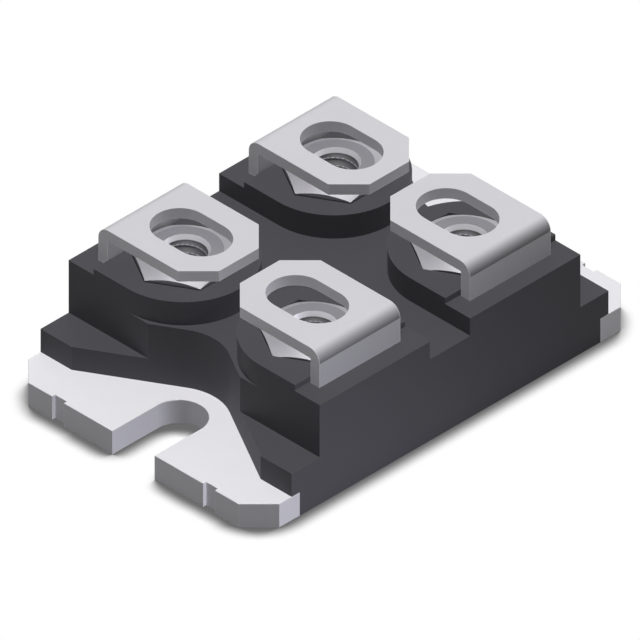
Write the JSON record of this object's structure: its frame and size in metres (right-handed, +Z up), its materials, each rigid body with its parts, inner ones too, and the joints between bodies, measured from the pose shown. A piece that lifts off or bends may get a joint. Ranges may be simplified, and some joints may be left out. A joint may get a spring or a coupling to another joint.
{
  "type": "power transistor module",
  "caption": "Flat screw-terminal power switching module: moulded black housing on a plated metal base, with folded strap terminals over captive nuts and open mounting slots",
  "frame": {"origin": "centre of the base plate's underside", "axes": "+X along the long side, from one mounting slot to the other; +Y across; +Z up off the heatsink"},
  "size_m": [0.0382, 0.025, 0.0116],
  "materials": {
    "nickel_plate": "satin nickel plate on copper",
    "black_epoxy": "fine matte as moulded",
    "zinc_steel": "bright zinc plate",
    "copper": "bare copper sheet",
    "alumina": "smooth fired",
    "solder": "dull tin",
    "silicon": "metallised and passivated",
    "aluminium_wire": "drawn wire"
  },
  "bodies": {
    "root": {"base_plate": "nickel_plate", "ceramic_substrate": "alumina", "die_solder_1": "solder", "die_solder_2": "solder", "drain_island": "copper", "drain_nut": "zinc_steel", "drain_terminal": "nickel_plate", "drain_terminal_solder": "solder", "gate_island": "copper", "gate_nut": "zinc_steel", "gate_terminal": "nickel_plate", "gate_terminal_solder": "solder", "gate_wire_1": "aluminium_wire", "gate_wire_2": "aluminium_wire", "housing": "black_epoxy", "lower_copper": "copper", "mosfet_die_1": "silicon", "mosfet_die_2": "silicon", "source_island": "copper", "source_nut": "zinc_steel", "source_sense_nut": "zinc_steel", "source_sense_terminal": "nickel_plate", "source_sense_terminal_solder": "solder", "source_terminal": "nickel_plate", "source_terminal_solder": "solder", "source_wire_1": "aluminium_wire", "source_wire_2": "aluminium_wire", "source_wire_3": "aluminium_wire", "source_wire_4": "aluminium_wire", "source_wire_5": "aluminium_wire", "source_wire_6": "aluminium_wire", "source_wire_7": "aluminium_wire", "source_wire_8": "aluminium_wire", "substrate_solder": "solder"}
  },
  "joints": []
}
